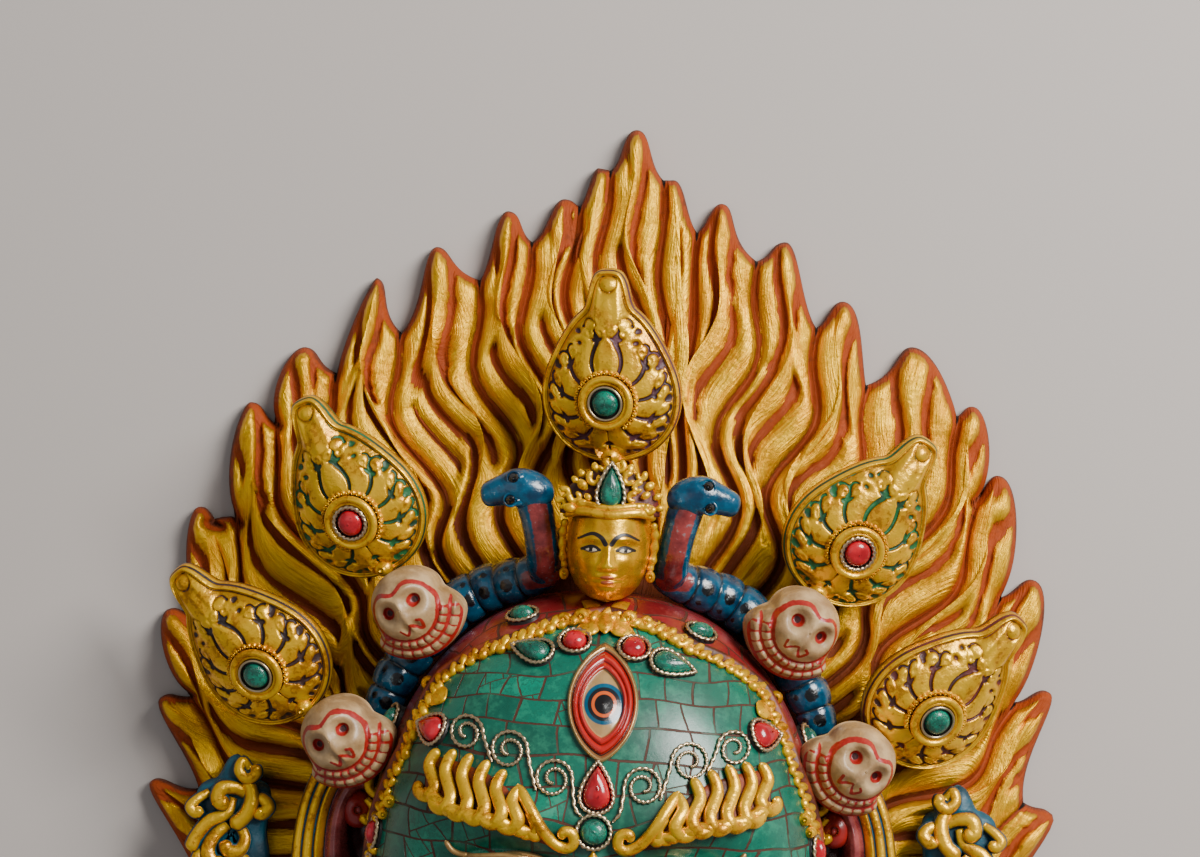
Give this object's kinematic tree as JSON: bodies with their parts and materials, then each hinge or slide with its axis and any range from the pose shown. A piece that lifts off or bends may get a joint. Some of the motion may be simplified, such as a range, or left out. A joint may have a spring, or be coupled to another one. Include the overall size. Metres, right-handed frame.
{
  "type": "tibetan cham mask",
  "caption": "Carved and gilded wrathful guardian mask lying on its back, with a turquoise-tiled face, a crown of leaves, skulls and snakes, and a broad board of flames.",
  "frame": {"origin": "middle of the flat back, on the plane it rests on", "axes": "+Z out of the face, +Y from the chin to the top of the flames, +X to the right of someone facing the mask"},
  "size_m": [0.378, 0.464, 0.1471],
  "materials": {
    "gilding": "gold leaf over red-brown ground, rubbed on the high places",
    "turquoise_tiles": "polished stone chips in dark red-brown grout",
    "turquoise_stone": "polished",
    "coral": "polished",
    "bone_paint": "painted, semi-gloss, with red lines",
    "blue_lacquer": "glossy paint",
    "red_lacquer": "glossy paint",
    "silver_wire": "twisted, slightly tarnished"
  },
  "bodies": {
    "root": {"band_oval_lower_left": "turquoise_stone", "band_oval_lower_right": "turquoise_stone", "band_oval_upper_left": "turquoise_stone", "band_oval_upper_right": "turquoise_stone", "brow_scroll_left": "silver_wire", "brow_scroll_right": "silver_wire", "coral_cheek_left": "coral", "coral_cheek_right": "coral", "coral_drop_brow": "coral", "coral_round_left": "coral", "coral_round_right": "coral", "coral_temple_left": "coral", "coral_temple_right": "coral", "ear_scroll_left": "gilding", "ear_scroll_right": "gilding", "flame_board": "gilding", "head": "turquoise_tiles", "leaf_lower_left": "gilding", "leaf_lower_left_stone": "turquoise_stone", "leaf_lower_right": "gilding", "leaf_lower_right_stone": "turquoise_stone", "leaf_top": "gilding", "leaf_top_stone": "turquoise_stone", "leaf_upper_left": "gilding", "leaf_upper_left_stone": "coral", "leaf_upper_right": "gilding", "leaf_upper_right_stone": "coral", "skull_lower_left": "bone_paint", "skull_lower_right": "bone_paint", "skull_upper_left": "bone_paint", "skull_upper_right": "bone_paint", "small_head": "gilding", "small_head_stone": "turquoise_stone", "snake_left": "blue_lacquer", "snake_right": "blue_lacquer", "third_eye": "red_lacquer", "turquoise_cheek_left": "turquoise_stone", "turquoise_cheek_right": "turquoise_stone", "turquoise_drop_left": "turquoise_stone", "turquoise_drop_right": "turquoise_stone", "turquoise_round_brow": "turquoise_stone"}
  },
  "joints": []
}
